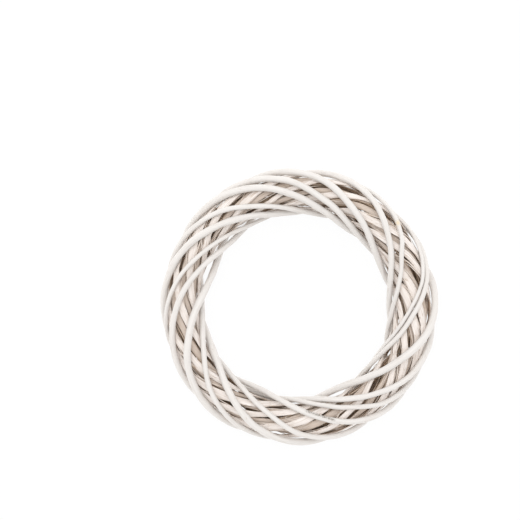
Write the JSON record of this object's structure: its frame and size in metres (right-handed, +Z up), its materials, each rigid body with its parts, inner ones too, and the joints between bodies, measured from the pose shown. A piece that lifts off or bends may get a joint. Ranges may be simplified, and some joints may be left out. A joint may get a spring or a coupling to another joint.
{
  "type": "wicker wreath",
  "caption": "Round wreath of whitewashed willow: thick round rods wound one way over split strips wound the other way.",
  "frame": {"origin": "middle of the wreath's footprint on the table, at the height of the lowest rods", "axes": "+Z up out of the wreath's front, +Y towards the top of the wreath as it hangs, +X to its right"},
  "size_m": [0.2516, 0.2506, 0.0438],
  "materials": {
    "white_rod": "whitewashed willow, matt",
    "pale_strip": "split willow, thinly whitewashed, matt",
    "bare_rod": "peeled willow, bare, matt"
  },
  "bodies": {
    "root": {"round_rod_1": "white_rod", "round_rod_2": "white_rod", "round_rod_3": "white_rod", "round_rod_4": "white_rod", "round_rod_5": "white_rod", "round_rod_6": "white_rod", "round_rod_7": "white_rod", "outer_split_strip_1": "pale_strip", "outer_split_strip_2": "pale_strip", "outer_split_strip_3": "pale_strip", "outer_split_strip_4": "pale_strip", "outer_split_strip_5": "pale_strip", "outer_split_strip_6": "pale_strip", "inner_split_strip_1": "pale_strip", "inner_split_strip_2": "pale_strip", "inner_split_strip_3": "pale_strip", "inner_split_strip_4": "pale_strip", "inner_split_strip_5": "pale_strip", "inner_split_strip_6": "pale_strip", "core_rod_1": "bare_rod", "core_rod_2": "bare_rod", "core_rod_3": "bare_rod"}
  },
  "joints": []
}
